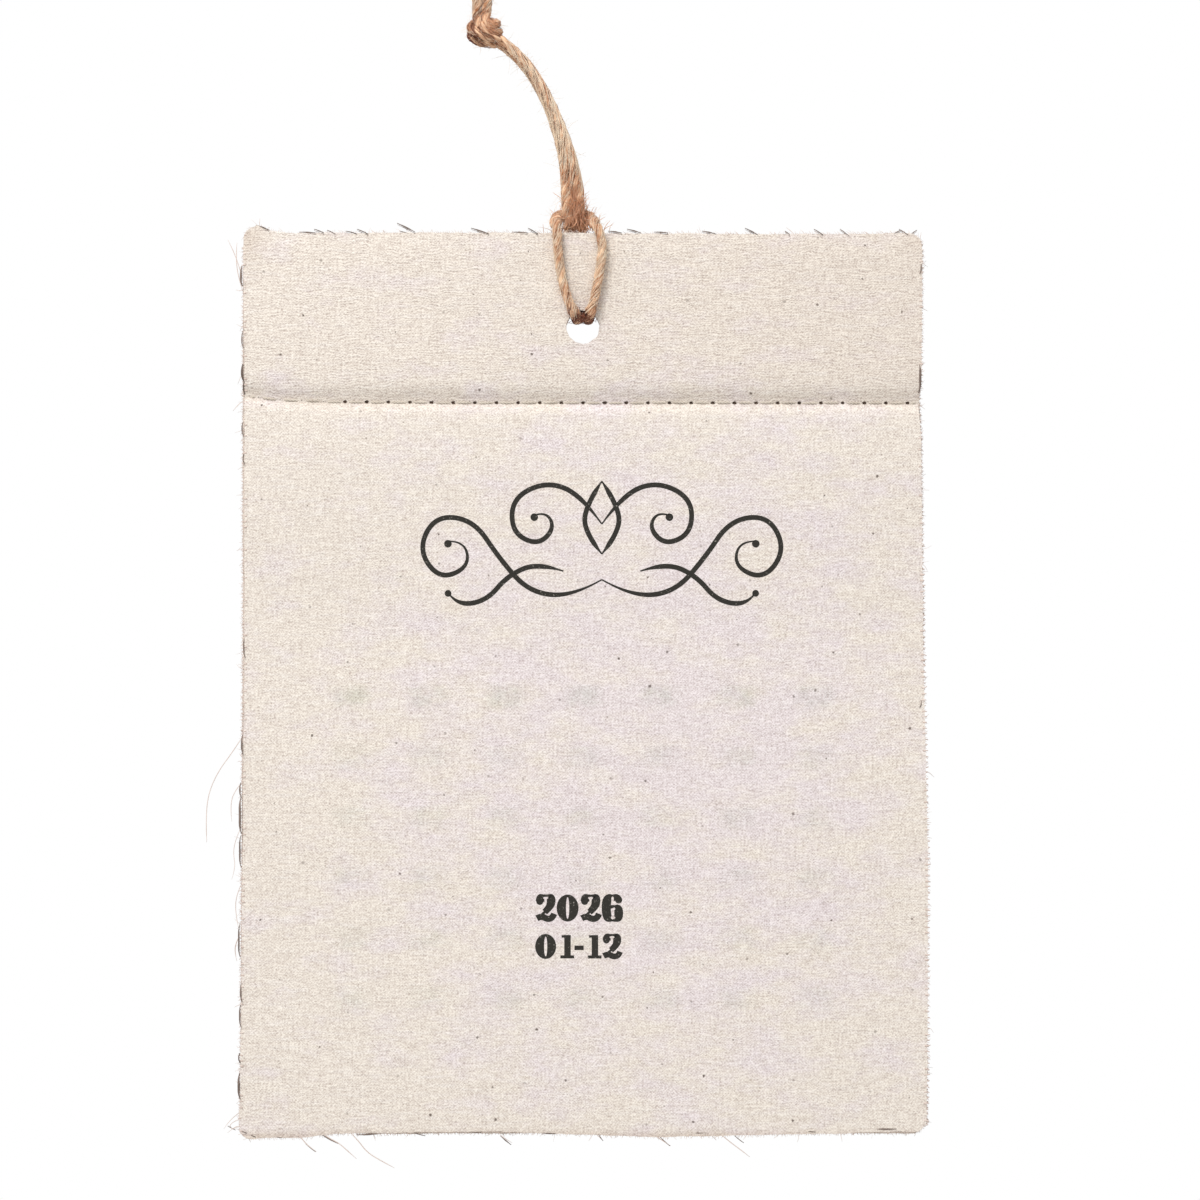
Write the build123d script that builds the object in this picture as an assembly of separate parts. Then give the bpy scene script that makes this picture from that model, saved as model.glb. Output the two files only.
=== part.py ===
"""A cloth wall calendar: a printed cover and twelve month leaves of raw-edged cotton,
sewn together by one row of stitches near the top, with a punched hole in the middle of the
header and a doubled jute twine hitched through it, whose knot the calendar hangs from.

Frame: millimetres, +Z up, the front faces -Y, the wall is the plane y = 0, and x = 0 is the
sheet's centre line. The origin is the middle of the back, on the wall.
"""

import math
import os

from build123d import *

# Cloth leaves
sheet_height = 210.0
top_width = 158.6
bottom_width = 161.0
corner_radius = 3.0
leaf_thickness = 0.4
month_count = 12
edge_stagger = 0.35  # how far one leaf's raw edges stand in or out of the next one's

# Seam and the ditch that it draws the leaves into
seam_below_top = 39.1
ditch_half_width = 6.0
seam_squeeze = 0.65  # thickness of the sewn leaves at the seam, as a share of their free thickness
header_stand_off = 3.2  # the twine behind the header holds it this far off the wall
shoulder_stand_off = 2.7  # the same, at the lower side of the ditch
seam_stand_off = 2.95
lean_length = 56.0  # below the ditch, the back comes off the wall over this length

# Lockstitch
stitch_pitch = 5.06
seam_end_margin = 3.0  # the last needle holes keep at least this far from the raw edge
thread_width = 0.6
needle_hole_width = 0.8
stitch_rise = 0.55  # how far a stitch stands out of the ditch
thread_clearance = 0.05
thread_tail = 2.4

# Cover leaf, which turns at the seam
cover_gap = 0.3  # between the hanging cover and the first month
cover_below_seam = 1.3  # the turning part starts this far under the stitches
cover_split = 0.3  # room between the sewn part of the cover leaf and its turning part
fold_radius = 0.4  # the cover folds over the stitches, about a line this far in front of its top edge

# Punched hole
hole_below_top = 21.5
hole_diameter = 7.9

# Twine
twine_diameter = 2.5
twine_sides = 8
knot_centre = (-23.0, -4.9, 152.8)
knot_width = 9.6
knot_height = 8.2
knot_bevel = 2.4  # along the knot, from its full girth to each end
twine_end_lengths = (12.5, 10.5)  # past the middle of the knot's top
twine_end_spacing = 2.7
twine_end_splay = 0.6  # each end leans this far away from the other

# The twine's route, from the knot down behind the header, through the hole, up the front,
# round behind the standing strands as a bight, and back the same way on the other side.
twine_route = [
    (-20.0, -3.6, 150.6),
    (-17.4, -3.6, 148.9),
    (-12.8, -3.6, 144.3),
    (-8.5, -3.6, 136.7),
    (-5.9, -3.7, 129.0),
    (-4.25, -3.95, 122.0),
    (-3.8, -4.4, 116.0),
    (-3.5, -4.3, 110.0),
    (-2.9, -1.35, 104.8),
    (-2.2, -1.4, 97.8),
    (-1.45, -1.35, 90.4),
    (-1.4, -1.4, 85.5),
    (-1.4, -10.0, 85.5),
    (-3.7, -10.05, 89.9),
    (-5.3, -9.85, 96.2),
    (-5.9, -9.9, 102.4),
    (-6.1, -9.8, 107.0),
    (-6.6, -4.9, 108.4),
    (-5.6, -1.4, 110.3),
    (1.2, -1.4, 110.3),
    (2.4, -4.9, 108.4),
    (3.4, -9.8, 107.0),
    (4.7, -9.9, 102.4),
    (3.9, -9.85, 96.2),
    (2.7, -10.05, 89.9),
    (1.25, -10.05, 85.5),
    (1.25, -1.4, 85.5),
    (1.25, -1.35, 90.4),
    (0.5, -1.4, 97.8),
    (-0.3, -1.35, 104.8),
    (-0.9, -4.3, 110.0),
    (-1.2, -5.0, 116.0),
    (-2.35, -5.85, 122.6),
    (-4.7, -6.0, 129.4),
    (-7.9, -6.1, 136.9),
    (-12.4, -6.15, 144.5),
    (-17.0, -6.15, 149.3),
    (-19.6, -6.2, 151.0),
]

# Heights and depths that follow from these
top_z = sheet_height / 2
bottom_z = -sheet_height / 2
seam_z = top_z - seam_below_top
hole_z = top_z - hole_below_top
leaf_count = month_count + 1
pad_thickness = leaf_count * leaf_thickness
pinch = pad_thickness * (1 - seam_squeeze) / 2  # each side of the pad moves in this far
back_y_at_seam = -(seam_stand_off + pinch)
front_y_at_seam = back_y_at_seam - pad_thickness * seam_squeeze
thread_meeting_y = (back_y_at_seam + front_y_at_seam) / 2
cover_top_z = seam_z - cover_below_seam
header_bottom_z = cover_top_z + cover_split
reach = 2 * bottom_width  # longer than anything it cuts


def leaf_surface(depth):
    """The pad's section line, bottom to top, this many leaves forward of its back."""

    def y_at(stand_off, squeeze=1.0):
        return -(stand_off + pad_thickness * (1 - squeeze) / 2 + depth * leaf_thickness * squeeze)

    lower_shoulder = (y_at(shoulder_stand_off), seam_z - ditch_half_width)
    foot = (y_at(0), lower_shoulder[1] - lean_length)
    seam = (y_at(seam_stand_off, seam_squeeze), seam_z)
    upper_shoulder = (y_at(header_stand_off), seam_z + ditch_half_width)
    hanging = Line((y_at(0), bottom_z), foot)
    lean = s_bend(foot, lower_shoulder)
    ditch = [*s_bend(lower_shoulder, seam), *s_bend(seam, upper_shoulder)]
    header = Line(upper_shoulder, (y_at(header_stand_off), top_z))
    return Wire([hanging, *lean, *ditch, header])


def s_bend(low, high):
    """Two equal arcs that join two points of a section line, upright at both."""
    middle = ((low[0] + high[0]) / 2, (low[1] + high[1]) / 2)
    first = TangentArc(low, middle, tangent=(0, 1))
    return [first, TangentArc(middle, high, tangent=first % 1)]


def layer(first_depth, last_depth):
    """All the cloth between two section lines, much wider than the sheet."""
    back = leaf_surface(first_depth)
    front = leaf_surface(last_depth)
    foot = Line(front @ 0, back @ 0)
    head = Line(back @ 1, front @ 1)
    section = make_face([*back.edges(), head, *front.edges(), foot])
    return extrude(Plane.YZ * section, reach / 2, dir=(1, 0, 0), both=True)


def outline(stagger_side, stagger_end):
    """A leaf's outline seen from the front, flared a little towards its foot."""
    corners = [
        (-bottom_width / 2 + stagger_side, bottom_z + stagger_end),
        (bottom_width / 2 + stagger_side, bottom_z + stagger_end),
        (top_width / 2 + stagger_side, top_z + stagger_end),
        (-top_width / 2 + stagger_side, top_z + stagger_end),
    ]
    shape = make_face(Polyline(*corners, close=True))
    shape = fillet(shape.vertices(), corner_radius)
    return extrude(Plane.XZ * shape, reach / 2, both=True)


def band(low_z, high_z):
    """Everything between two heights."""
    middle = Pos(0, 0, (low_z + high_z) / 2)
    return middle * Box(reach, reach, high_z - low_z)


def needle_hole_places():
    """Where the needle went down, symmetric about the centre line."""
    room = top_width / 2 - seam_end_margin
    holes_each_side = int(room // stitch_pitch)
    return [i * stitch_pitch for i in range(-holes_each_side, holes_each_side + 1)]


def needle_holes():
    """A small square hole between the yarns for each stitch."""
    hole = Box(needle_hole_width, reach, needle_hole_width)
    return [Pos(x, 0, seam_z) * hole for x in needle_hole_places()]


def punched_hole():
    return Pos(0, 0, hole_z) * Rot(90, 0, 0) * Cylinder(hole_diameter / 2, reach)


def month_leaves():
    """The twelve months as one block, each with raw edges of its own."""
    leaves = []
    for month in range(month_count):
        side = edge_stagger * math.sin(2.4 * month + 1)
        end = edge_stagger * math.cos(2.4 * month)
        front_depth = month_count - month
        leaves.append(layer(front_depth - 1, front_depth) & outline(side, end))
    block = leaves[0].fuse(*leaves[1:])
    return block - [punched_hole(), *needle_holes()]


def cover_leaf():
    """The whole cover leaf, as it is cut from one piece of cloth."""
    return layer(month_count, leaf_count) & outline(0, 0)


def cover_header():
    """The cover leaf's sewn part, flat on the months' header."""
    sewn = cover_leaf() & band(header_bottom_z, top_z + 1)
    return sewn - [punched_hole(), *needle_holes()]


def front_cover():
    """The cover leaf's turning part, hanging just clear of the first month."""
    hanging = cover_leaf() & band(bottom_z - 1, cover_top_z)
    return Pos(0, -cover_gap, 0) * hanging


def sewing_thread(cloth_y, outward):
    """One thread of the lockstitch: a stitch over each pair of needle holes, a leg down each."""
    holes = needle_hole_places()
    lying_y = cloth_y + outward * thread_clearance
    crest_y = cloth_y + outward * stitch_rise
    level_y = lying_y + outward * thread_width / 3
    start = holes[0] - thread_width / 2
    stitch = make_face(
        [
            Line((0, lying_y), (stitch_pitch, lying_y)),
            Line((stitch_pitch, lying_y), (stitch_pitch, level_y)),
            ThreePointArc((stitch_pitch, level_y), (stitch_pitch / 2, crest_y), (0, level_y)),
            Line((0, level_y), (0, lying_y)),
        ]
    )
    stitch = Pos(0, 0, seam_z) * extrude(stitch, thread_width / 2, both=True)
    leg_length = abs(level_y - thread_meeting_y)
    leg = Box(thread_width, leg_length, thread_width)
    tail_height = abs(level_y - lying_y)
    tail = Box(thread_tail, tail_height, thread_width)
    tail_x = holes[-1] + thread_tail / 2
    pieces = [Pos(x, 0, 0) * stitch for x in holes[:-1]]
    pieces += [Pos(x, (level_y + thread_meeting_y) / 2, seam_z) * leg for x in holes]
    pieces += [Pos(x, (level_y + lying_y) / 2, seam_z) * tail for x in (-tail_x, tail_x)]
    return pieces[0].fuse(*pieces[1:])


def corner_radii(points):
    """0.45 of the shorter run, divided by the tangent of half the turn, at each corner."""
    radii = []
    for before, corner, after in zip(points, points[1:], points[2:]):
        run_in = Vector(corner) - Vector(before)
        run_out = Vector(after) - Vector(corner)
        half_turn = math.radians(run_in.get_angle(run_out)) / 2
        radii.append(0.45 * min(run_in.length, run_out.length) / math.tan(half_turn))
    return radii


def twine_along(path):
    """A length of twine, many-sided instead of round to stay light."""
    section = Plane(origin=path @ 0, z_dir=path % 0) * RegularPolygon(twine_diameter / 2, twine_sides)
    return sweep(section, path=path)


def hanging_twine():
    """The doubled twine between the knot and the hole, with its cow hitch."""
    radii = corner_radii(twine_route)
    path = FilletPolyline(*twine_route, radius=radii)
    print("twine radii", [round(r, 1) for r in radii])
    print("twine length", round(path.length, 1))
    return twine_along(path)


def twine_knot():
    """The knot's outer shape, a barrel with bevelled ends: both strands wound round themselves."""
    half_width = knot_width / 2
    girth_radius = knot_height / 2
    end_radius = twine_diameter
    half_girth = [(half_width - knot_bevel, girth_radius), (half_width, end_radius), (half_width, 0)]
    other_half = [(-x, r) for x, r in reversed(half_girth)]
    section = make_face(Polyline(*half_girth, *other_half, close=True))
    return Pos(*knot_centre) * revolve(section, Axis.X)


def twine_ends():
    """The two cut ends that stand up out of the knot."""
    x, y, z = knot_centre
    ends = []
    for side, length in zip((-1, 1), twine_end_lengths):
        foot = (x + side * twine_end_spacing / 2, y, z + knot_height / 4)
        tip = (foot[0] + side * twine_end_splay, y, z + knot_height / 2 + length)
        ends.append(twine_along(Line(foot, tip)))
    return Compound(ends)


nodes = {
    "month_leaves": month_leaves(),
    "cover_header": cover_header(),
    "front_cover": front_cover(),
    "needle_thread": sewing_thread(front_y_at_seam, -1),
    "bobbin_thread": sewing_thread(back_y_at_seam, 1),
    "hanging_twine": hanging_twine(),
    "twine_knot": twine_knot(),
    "twine_ends": twine_ends(),
}

os.makedirs("parts", exist_ok=True)
for name, shape in nodes.items():
    export_step(shape, f"parts/{name}.step")

top_edge = nodes["front_cover"].vertices().sort_by(Axis.Z)[-2:].sort_by(Axis.Y)[0]
print("cover hinge line", round(top_edge.Y - fold_radius, 3), round(top_edge.Z, 3))
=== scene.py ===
"""Looks of a cloth wall calendar: raw-edged cotton leaves, sewn at the header and hung by jute twine."""

import math
import random

import bpy
import numpy as np
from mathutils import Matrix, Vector, geometry, noise


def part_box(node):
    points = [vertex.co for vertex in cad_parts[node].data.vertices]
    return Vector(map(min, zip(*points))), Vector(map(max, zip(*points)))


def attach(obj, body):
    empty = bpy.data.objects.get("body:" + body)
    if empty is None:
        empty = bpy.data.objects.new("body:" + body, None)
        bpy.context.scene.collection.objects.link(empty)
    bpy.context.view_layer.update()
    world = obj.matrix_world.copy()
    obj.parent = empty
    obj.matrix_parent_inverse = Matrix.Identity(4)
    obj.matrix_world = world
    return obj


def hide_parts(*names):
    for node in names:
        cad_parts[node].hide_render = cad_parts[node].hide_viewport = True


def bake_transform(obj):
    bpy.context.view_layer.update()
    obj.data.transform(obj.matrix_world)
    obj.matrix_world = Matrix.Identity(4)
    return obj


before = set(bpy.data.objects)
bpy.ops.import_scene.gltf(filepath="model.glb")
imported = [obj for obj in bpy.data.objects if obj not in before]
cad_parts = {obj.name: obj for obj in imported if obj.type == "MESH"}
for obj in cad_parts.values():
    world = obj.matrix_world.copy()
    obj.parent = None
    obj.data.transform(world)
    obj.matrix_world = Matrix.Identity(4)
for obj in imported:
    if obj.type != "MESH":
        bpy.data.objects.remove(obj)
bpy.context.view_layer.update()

mm = 0.001
uv_scale = 10  # UVs are in decimetres

# The photograph's frame: one pixel of its 1200 is this long on the sheet
pixel = 0.2336 * mm
middle_px = (583.0, 684.5)  # the photograph's place of x = 0, z = 0
picture_px = 1200

# Cloth leaves, from the frame
header_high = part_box("cover_header")[1]
cover_low, cover_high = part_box("front_cover")
thread_low, thread_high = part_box("needle_thread")
top_z = header_high.z
bottom_z = cover_low.z
seam_z = (thread_low.z + thread_high.z) / 2
month_count = 12
leaf_thickness = 0.4 * mm
cloth_thickness = 0.34 * mm
pad_thickness = (month_count + 1) * leaf_thickness
cover_gap = 0.3 * mm
edge_stagger = 0.35 * mm
corner_radius = 3.0 * mm

# The pad's side profile
header_stand_off = 3.2 * mm
shoulder_stand_off = 2.7 * mm
ditch_half_width = 6.0 * mm
seam_squeeze = 0.65
ditch_bluntness = 0.13  # rounds the ditch's bottom, as a share of its half width
lean_length = 56.0 * mm

# Seam, hole and twine
stitch_pitch = 5.06 * mm
holes_each_side = 15
needle_slot_size = (1.25 * mm, 0.4 * mm)
pit_depth = 2  # the needle's hole is open this many leaves deep
stitch_diameter = 0.62 * mm
hole_z = top_z - 21.5 * mm
hole_radius = 3.95 * mm
twine_diameter = 2.5 * mm
twine_lay = 8.0 * mm  # length of one full turn of the two plies

# The cover's raw edges as the photograph shows them: x in millimetres at heights in millimetres
left_edge = [(105, -79.4), (66, -79.1), (0, -79.4), (-74, -80.1), (-98, -80.3), (-105, -81.0)]
right_edge = [(105, 79.3), (72, 79.1), (66, 78.4), (58, 79.0)]
right_edge += [(6, 79.8), (-39, 80.8), (-78, 80.8), (-105, 80.4)]
bottom_edge = [(-81, -106.4), (-67, -106.2), (-56, -105.1), (-20, -104.7), (17, -106.0), (80, -104.7)]
top_edge = [(-81, 106.8), (-76.4, 107.2), (-73, 106.1), (-69, 105.5), (-20, 105.6), (40, 105.2), (80, 105.4)]
month_left_edge = [(105, -79.2), (-105, -80.2)]
month_right_edge = [(105, 79.0), (66, 78.4), (58, 78.8), (-105, 80.2)]
seam_rise = [(-79, 1.7), (-72, 0.7), (-60, 0.25), (-30, 0.0), (80, -0.1)]


def smooth(t):
    """0 below 0, 1 above 1, and an even S between."""
    t = min(max(t, 0.0), 1.0)
    return t * t * (3 - 2 * t)


def from_photo(x_px, y_px):
    """A point of the photograph, in metres on the sheet."""
    return (x_px - middle_px[0]) * pixel, (middle_px[1] - y_px) * pixel


def rough(*at, seed=0.0):
    """Smooth noise from -1 to 1."""
    x, y, z = (*at, 0.0, 0.0)[:3]
    return noise.noise(Vector((x, y, z + 17.3 * seed)))


# The first month's page, which the cover hides until it is turned up: places in pixels
day_columns_px = [350 + 77.6 * k for k in range(7)]
week_rows_px = [763, 824, 880, 940, 1000]
weekday_row_px = 697
first_column = 4
days_in_month = 31


# The form of the pad


def along_edge(edge, at):
    """An edge's place at this height, or height at this x, in metres."""
    knots = sorted((a * mm, b * mm) for a, b in edge)
    return float(np.interp(at, [k[0] for k in knots], [k[1] for k in knots]))


def seam_at(x):
    """The height of the seam, which runs up a little at its left end."""
    return seam_z + along_edge(seam_rise, x)


def stand_off(z):
    """How far the pad's back is from the wall."""
    shoulder_z = seam_z - ditch_half_width
    lean = shoulder_stand_off * smooth((z - shoulder_z + lean_length) / lean_length)
    over_the_twine = smooth((z - shoulder_z) / (2 * ditch_half_width))
    return lean + (header_stand_off - shoulder_stand_off) * over_the_twine


def squeeze(x, z):
    """How much thinner the sewn leaves are here."""
    away = math.hypot((z - seam_at(x)) / ditch_half_width, ditch_bluntness)
    pressed = max(0.0, (1 - away) / (1 - ditch_bluntness))
    return 1 - (1 - seam_squeeze) * pressed**2


def wave(x, z, depth):
    """How far a leaf stands forward of a flat pad, more so near its free edges."""
    free = smooth((seam_z - z) / (70 * mm))
    swell = 0.5 + 0.5 * rough(x / (55 * mm), z / (80 * mm), 3.1)
    side = abs(x / cover_high.x) ** 8
    foot = smooth((bottom_z + 45 * mm - z) / (45 * mm))
    fan = depth / (month_count + 1) * (0.35 * side + 0.45 * foot)
    at_top = 0.12 * smooth((z - hole_z) / (20 * mm)) * rough(x / (20 * mm), 7.7)
    rolled_back = 0.3 * smooth((z - top_z) / (3 * mm) + 1)
    return (free * (0.45 * swell + fan) + at_top - rolled_back) * mm


def crease(x, z):
    """How far the stitches draw the cover leaf in, deepest at the needle holes."""
    above = z - seam_at(x)
    near = math.exp(-above / (2.0 * mm)) if above > 0 else math.exp(-((above / (0.4 * mm)) ** 2))
    at_hole = 0.5 + 0.5 * math.cos(2 * math.pi * x / stitch_pitch)
    return (0.5 + 0.1 * at_hole) * mm * near


def pad_y(x, z, depth):
    """Where the surface lies that is this many leaves forward of the pad's back."""
    s = squeeze(x, z)
    pressed = pad_thickness * (1 - s) / 2
    return -(stand_off(z) + pressed + depth * leaf_thickness * s + wave(x, z, depth))


def cover_y(x, z):
    """The middle of the cover leaf's cloth."""
    below = seam_at(x) - z
    gap = cover_gap * smooth(below / (3 * mm))
    sunk = pad_thickness * (1 - squeeze(x, z)) / 2
    bridged = 0.45 * sunk * smooth(below / (3 * mm))
    bulge = 0.12 * mm * rough(x / (9 * mm), z / (6 * mm), 1.3)
    return pad_y(x, z, month_count + 0.5) - gap - bridged - bulge + crease(x, z)


# Mesh helpers


def mesh_object(name, points, faces, material, uvs=None, smooth_faces=True):
    """A mesh piece; its UVs, in decimetres, come one for each point or one for each face corner."""
    mesh = bpy.data.meshes.new(name)
    mesh.from_pydata([tuple(p) for p in points], [], faces)
    mesh.materials.append(material)
    if uvs is not None:
        layer = mesh.uv_layers.new(name="flat")
        uvs = np.asarray(uvs, np.float32)
        if len(uvs) != len(mesh.loops):
            loops = np.zeros(len(mesh.loops), np.int32)
            mesh.loops.foreach_get("vertex_index", loops)
            uvs = uvs[loops]
        layer.data.foreach_set("uv", uvs.ravel())
    mesh.polygons.foreach_set("use_smooth", [smooth_faces] * len(mesh.polygons))
    mesh.update()
    piece = bpy.data.objects.new(name, mesh)
    bpy.context.scene.collection.objects.link(piece)
    return piece


def shell(name, flat, triangles, y_of, thickness, material):
    """A closed thin sheet over flat (x, z) points, half its thickness each side of y_of."""
    count = len(flat)
    middle = [y_of(x, z) for x, z in flat]
    points = [(x, y - thickness / 2, z) for (x, z), y in zip(flat, middle)]
    points += [(x, y + thickness / 2, z) for (x, z), y in zip(flat, middle)]
    faces = [tuple(t) for t in triangles]
    faces += [(c + count, b + count, a + count) for a, b, c in triangles]
    used = {}
    for a, b, c in triangles:
        for edge in ((a, b), (b, c), (c, a)):
            used[edge] = True
    for a, b in used:
        if (b, a) not in used:
            faces.append((b, a, a + count, b + count))
    uvs = [(x * uv_scale, z * uv_scale) for x, z in flat] * 2
    piece = mesh_object(name, points, faces, material, uvs)
    piece.data.set_sharp_from_angle(angle=math.radians(50))
    return piece


def facing_front(flat, triangles):
    """The triangles, turned so that each faces the viewer."""
    turned = []
    for a, b, c in triangles:
        (ax, az), (bx, bz), (cx, cz) = flat[a], flat[b], flat[c]
        area = (bx - ax) * (cz - az) - (cx - ax) * (bz - az)
        if abs(area) > 1e-14:
            turned.append((a, b, c) if area > 0 else (a, c, b))
    return turned


def aside(normal, across, angle):
    """The direction square to a line that is this far round from its normal."""
    return normal * math.cos(angle) + across * math.sin(angle)


def neighbours(line, i):
    """The points of an open line before and after this one."""
    return line[max(i - 1, 0)], line[min(i + 1, len(line) - 1)]


def direction(before, after):
    """The direction from one flat point to another."""
    dx, dz = after[0] - before[0], after[1] - before[1]
    size = math.hypot(dx, dz) or 1.0
    return dx / size, dz / size


def frames_along(line):
    """At each point of a line, its distance along and two directions square to it."""
    tangent = (line[1] - line[0]).normalized()
    normal = tangent.orthogonal().normalized()
    along = 0.0
    frames = []
    for i, centre in enumerate(line):
        before, after = neighbours(line, i)
        if (after - before).length > 1e-12:
            tangent = (after - before).normalized()
        normal = (normal - tangent * normal.dot(tangent)).normalized()
        if i:
            along += (centre - line[i - 1]).length
        frames.append((along, normal, tangent.cross(normal)))
    return frames


groove_depth = 0.15
groove_turn = 900.0  # radians for each metre


def tube(path, radius, sides, start=0, taper=None, grooves=0):
    """Points, faces and corner UVs of a tube along a path.

    Taper is each ring's share of the radius, and grooves run along it between so many fibre bundles.
    """
    path = [Vector(p) for p in path]
    points, faces, uvs = [], [], []
    frames = frames_along(path)
    for i, (centre, (distance, normal, across)) in enumerate(zip(path, frames)):
        r = radius * (taper[i] if taper else 1.0)
        for k in range(sides):
            angle = 2 * math.pi * k / sides
            ridge = 1 + groove_depth * math.cos(grooves * angle + distance * groove_turn) if grooves else 1
            points.append(centre + aside(normal, across, angle) * r * ridge)
    along = [distance * uv_scale for distance, _, _ in frames]
    for i in range(len(path) - 1):
        for k in range(sides):
            a = start + i * sides + k
            b = start + i * sides + (k + 1) % sides
            faces.append((a, b, b + sides, a + sides))
            low, high = k / sides, (k + 1) / sides
            uvs += [(along[i], low), (along[i], high), (along[i + 1], high), (along[i + 1], low)]
    last = start + (len(path) - 1) * sides
    faces.append(tuple(start + k for k in reversed(range(sides))))
    faces.append(tuple(last + k for k in range(sides)))
    uvs += [(0.0, 0.5)] * sides + [(along[-1], 0.5)] * sides
    return points, faces, uvs


def tubes_object(name, routes, material, sides=3, grooves=0):
    """One piece of many tubes; routes are (path, radius, taper or None)."""
    points, faces, uvs = [], [], []
    for path, radius, taper in routes:
        new_points, new_faces, new_uvs = tube(path, radius, sides, len(points), taper, grooves)
        points += new_points
        faces += new_faces
        uvs += new_uvs
    return mesh_object(name, points, faces, material, uvs)


def made_mesh(curve):
    """The points and triangles of a curve or words, which are then taken away."""
    holder = bpy.data.objects.new("holder", curve)
    mesh = bpy.data.meshes.new_from_object(holder)
    mesh.calc_loop_triangles()
    points = [v.co.copy() for v in mesh.vertices]
    triangles = [tuple(t.vertices) for t in mesh.loop_triangles]
    bpy.data.meshes.remove(mesh)
    bpy.data.objects.remove(holder)
    bpy.data.curves.remove(curve)
    return points, triangles


def nurbs_line(points, resolution=8):
    """The points along a smooth line with these control points, as the curve has them."""
    curve = bpy.data.curves.new("route", "CURVE")
    curve.dimensions = "3D"
    curve.resolution_u = resolution
    spline = curve.splines.new("NURBS")
    spline.points.add(len(points) - 1)
    for point, place in zip(spline.points, points):
        point.co = (*place, 1.0)
    spline.order_u = 3
    spline.use_endpoint_u = True
    return made_mesh(curve)[0]


def spaced(line, step):
    """The line again, with points about a step apart."""
    places = np.array([tuple(p) for p in line])
    lengths = np.linalg.norm(np.diff(places, axis=0), axis=1)
    along = np.concatenate([[0], np.cumsum(lengths)])
    at = np.linspace(0, along[-1], max(3, int(along[-1] / step) + 1))
    return [Vector(p) for p in np.stack([np.interp(at, along, places[:, k]) for k in range(3)], 1)]


# Materials


class Nodes:
    """Short ways to add nodes to one material."""

    def __init__(self, name):
        self.material = bpy.data.materials.new(name)
        self.material.use_nodes = True
        self.tree = self.material.node_tree
        self.shader = self.tree.nodes["Principled BSDF"]

    def add(self, kind, inputs, **settings):
        made = self.tree.nodes.new(kind)
        for key, value in settings.items():
            setattr(made, key, value)
        for key, value in inputs.items():
            self.join(value, made.inputs[key])
        return made

    def join(self, value, socket):
        if isinstance(value, bpy.types.NodeSocket):
            self.tree.links.new(value, socket)
        else:
            socket.default_value = value

    def math(self, operation, *values):
        return self.add("ShaderNodeMath", dict(enumerate(values)), operation=operation).outputs[0]

    def product(self, first, *others):
        for other in others:
            first = self.math("MULTIPLY", first, other)
        return first

    def away(self, vector, place):
        made = self.add("ShaderNodeVectorMath", {0: vector, 1: place}, operation="DISTANCE")
        return made.outputs["Value"]

    def parts(self, vector):
        return self.add("ShaderNodeSeparateXYZ", {0: vector}).outputs

    def remap(self, value, low, high, to_low=0.0, to_high=1.0):
        inputs = {"Value": value, "From Min": low, "From Max": high, "To Min": to_low, "To Max": to_high}
        return self.add("ShaderNodeMapRange", inputs).outputs[0]

    def mix(self, share, a, b, blend="MIX"):
        inputs = {0: share, 6: a, 7: b}
        return self.add("ShaderNodeMix", inputs, data_type="RGBA", blend_type=blend).outputs[2]

    def scaled(self, vector, scale):
        return self.add("ShaderNodeMapping", {"Vector": vector, "Scale": scale}).outputs[0]

    def noise(self, vector, scale, detail=2.0, roughness=0.5):
        inputs = {"Vector": vector, "Scale": scale, "Detail": detail, "Roughness": roughness}
        return self.add("ShaderNodeTexNoise", inputs).outputs["Fac"]

    def wandering(self, vector, scale, detail, reach):
        """The same places, each shifted by up to this reach."""
        wander = self.add("ShaderNodeTexNoise", {"Vector": vector, "Scale": scale, "Detail": detail})
        inputs = {0: wander.outputs["Color"], "Scale": reach}
        shift = self.add("ShaderNodeVectorMath", inputs, operation="SCALE").outputs[0]
        return self.add("ShaderNodeVectorMath", {0: vector, 1: shift}, operation="ADD").outputs[0]

    def flat_cloth(self):
        """Millimetres on the flat cloth, from the UVs."""
        uv = self.add("ShaderNodeTexCoord", {}).outputs["UV"]
        return self.scaled(uv, [1 / (uv_scale * mm)] * 3)

    def surface(self, colour, height, relief, roughness, specular, sheen=0.0):
        """The finished material; relief is the bump's strength and its depth."""
        strength, depth = relief
        bump = self.add("ShaderNodeBump", {"Height": height, "Strength": strength, "Distance": depth})
        inputs = {"Base Color": colour, "Normal": bump.outputs[0], "Roughness": roughness}
        inputs |= {"Specular IOR Level": specular, "Sheen Weight": sheen}
        for key, value in inputs.items():
            self.join(value, self.shader.inputs[key])
        return self.material


def rgb(red, green, blue):
    """A colour as a picture shows it, for a shader."""
    return (*[(c / 255) ** 2.2 for c in (red, green, blue)], 1.0)


# the tint of the painted shade in the seam's ditch
ditch_shade_tint = rgb(224, 220, 216)
# brown of the header's painted shade, the foot's painted shadow and the top corners
shade_and_corner_brown = rgb(196, 174, 154)
shown_ink = rgb(236, 240, 236)
cream = rgb(245, 236, 224)
pinkish = rgb(242, 232, 232)
bleached = rgb(249, 244, 239)
# the painted shade in the weave's hollows
hollow_shade = rgb(198, 189, 187)
speck = rgb(74, 56, 46)
ink = rgb(54, 52, 48)
pinkest_at = (0.2, -0.15, 0)  # shares of half the sheet's width and height

# The cloth's materials work in millimetres
yarn_pitch = 0.37
ridge_pitch = 0.66
seam_mm = seam_z / mm
foot_mm = bottom_z / mm


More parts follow.
